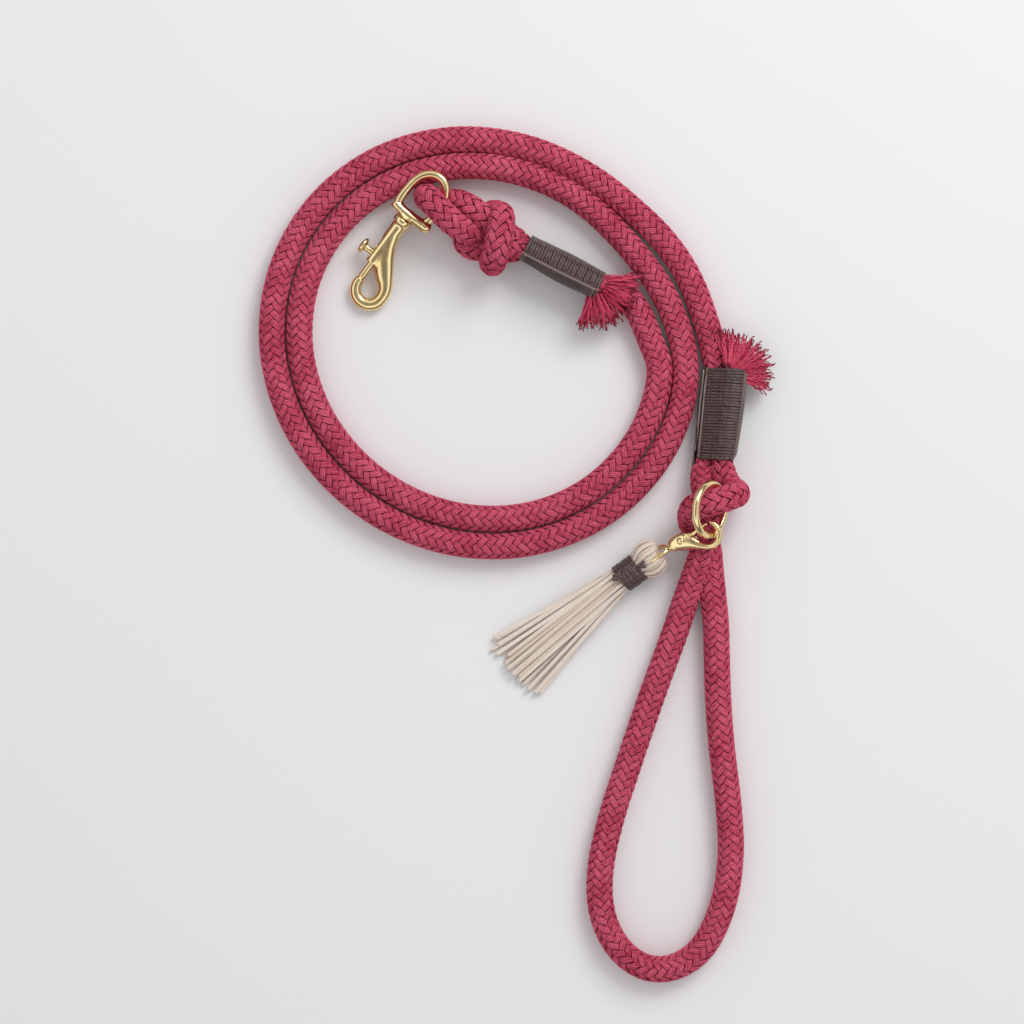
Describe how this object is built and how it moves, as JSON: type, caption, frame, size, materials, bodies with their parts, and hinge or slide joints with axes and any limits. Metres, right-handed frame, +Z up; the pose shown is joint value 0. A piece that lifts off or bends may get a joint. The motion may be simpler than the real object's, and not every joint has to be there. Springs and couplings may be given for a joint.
{
  "type": "lead rope",
  "caption": "Braided cotton lead rope, coiled flat, with a knotted hand loop, laced leather collars, a brass swivel bolt snap and a tassel on a ring and clasp.",
  "frame": {"origin": "centre of the bounding box on the surface that the coiled rope lies on", "axes": "+Z up from that surface, +Y from the hand loop towards the coil, +X towards the hand end's collar"},
  "size_m": [0.2228, 0.3738, 0.0349],
  "materials": {
    "rope": "braided cotton, matt, raspberry red",
    "leather": "smooth dark brown",
    "twine": "waxed dark brown thread",
    "brass": "polished, pale",
    "steel": "plain spring wire",
    "suede": "cream suede, soft and matt"
  },
  "bodies": {
    "rope": {"snap_knot_tail": "rope", "snap_knot_wrap": "rope", "snap_bight": "rope", "snap_knot_standing_part": "rope", "lead_inner_turn": "rope", "lead_outer_turn": "rope", "hand_knot_standing_part": "rope", "hand_loop": "rope", "hand_knot_wrap": "rope", "snap_collar": "leather", "snap_collar_lacing": "twine", "snap_end_fringe": "rope", "hand_collar": "leather", "hand_collar_lacing": "twine", "hand_end_fringe": "rope"},
    "eye": {"snap_eye": "brass"},
    "snap": {"snap_body": "brass"},
    "bolt": {"bolt": "brass", "thumb_knob": "brass", "bolt_spring": "steel"},
    "ring": {"tassel_ring": "brass"},
    "clasp": {"clasp_body": "brass", "gate_pin": "steel"},
    "gate": {"clasp_gate": "brass", "gate_spring": "steel"},
    "clasp_eye": {"clasp_eye": "brass"},
    "tassel": {"tassel_head": "suede", "tassel_lashing": "twine", "tassel_strands": "suede"}
  },
  "joints": [
    {"name": "eye_on_rope", "type": "hinge", "parent": "rope", "child": "eye", "pos_m": [-0.042, 0.1538, 0.0124], "axis": [-0.1324, -0.1712, 0.9763], "range_deg": [-6, 24]},
    {"name": "snap_swivel", "type": "hinge", "parent": "eye", "child": "snap", "pos_m": [-0.0492, 0.1427, 0.0112], "axis": [0.597, 0.7725, 0.2164], "range_deg": [-110, 110]},
    {"name": "thumb_bolt", "type": "slide", "parent": "snap", "child": "bolt", "axis": [0.597, 0.7725, 0.2164], "range_m": [0, 0.0065], "stiffness_N_per_m": 350, "springref_m": -0.003, "deforming": ["bolt_spring"]},
    {"name": "ring_on_rope", "type": "hinge", "parent": "rope", "child": "ring", "pos_m": [0.0832, 0.021, 0.0238], "axis": [-0.9982, -0.0599, 0], "range_deg": [0, 30]},
    {"name": "clasp_on_ring", "type": "hinge", "parent": "ring", "child": "clasp", "pos_m": [0.0849, 0.00807, 0.0214], "axis": [0.5365, 0.2523, -0.8053], "range_deg": [-3, 8]},
    {"name": "clasp_gate", "type": "hinge", "parent": "clasp", "child": "gate", "pos_m": [0.0747, 0.00719, 0.01869], "axis": [-0.3234, -0.1114, 0.9397], "range_deg": [-18, 0], "stiffness_Nm_per_rad": 0.02, "springref_deg": 11.46, "deforming": ["gate_spring"]},
    {"name": "clasp_swivel", "type": "hinge", "parent": "clasp", "child": "clasp_eye", "pos_m": [0.06927, 0.00331, 0.01637], "axis": [-0.8885, -0.3059, -0.342], "range_deg": [-90, 90]},
    {"name": "tassel_on_eye", "type": "hinge", "parent": "clasp_eye", "child": "tassel", "pos_m": [0.0579, -0.0006, 0.01199], "axis": [0, 0, 1], "range_deg": [-8, 12]}
  ]
}
